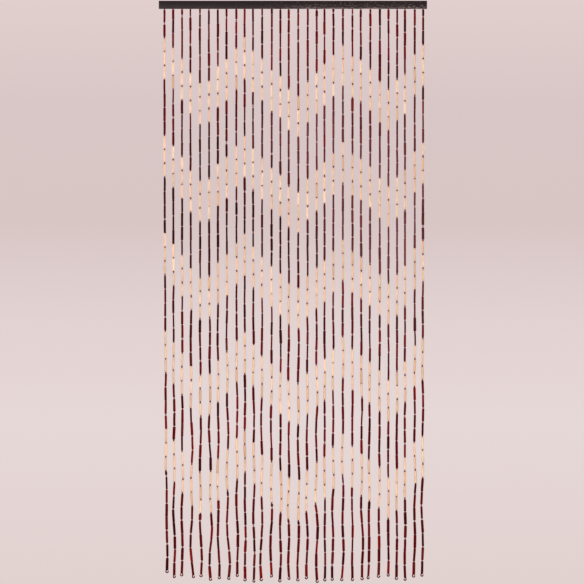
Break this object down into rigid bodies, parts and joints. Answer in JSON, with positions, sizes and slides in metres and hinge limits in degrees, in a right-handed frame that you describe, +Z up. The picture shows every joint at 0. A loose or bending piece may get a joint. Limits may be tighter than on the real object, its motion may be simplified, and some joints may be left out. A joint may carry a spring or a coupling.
{
  "type": "bamboo door curtain with head rail",
  "caption": "Beaded string curtain of linked bamboo tubes in a dark and pale zigzag, hung from a dark wooden head rail, with open wire loops at the strand ends.",
  "frame": {"origin": "centre of the head rail's flat back face", "axes": "+X along the rail to the right seen from the front, +Y towards the wall or door frame, +Z up; the front faces -Y"},
  "size_m": [0.9, 0.012, 1.954],
  "materials": {
    "stained_wood": "dark brown stain, satin",
    "stained_bamboo": "dark red brown varnish, glossy"
  },
  "bodies": {
    "root": {"head_rail": "stained_wood", "strands": "stained_bamboo"}
  },
  "joints": []
}
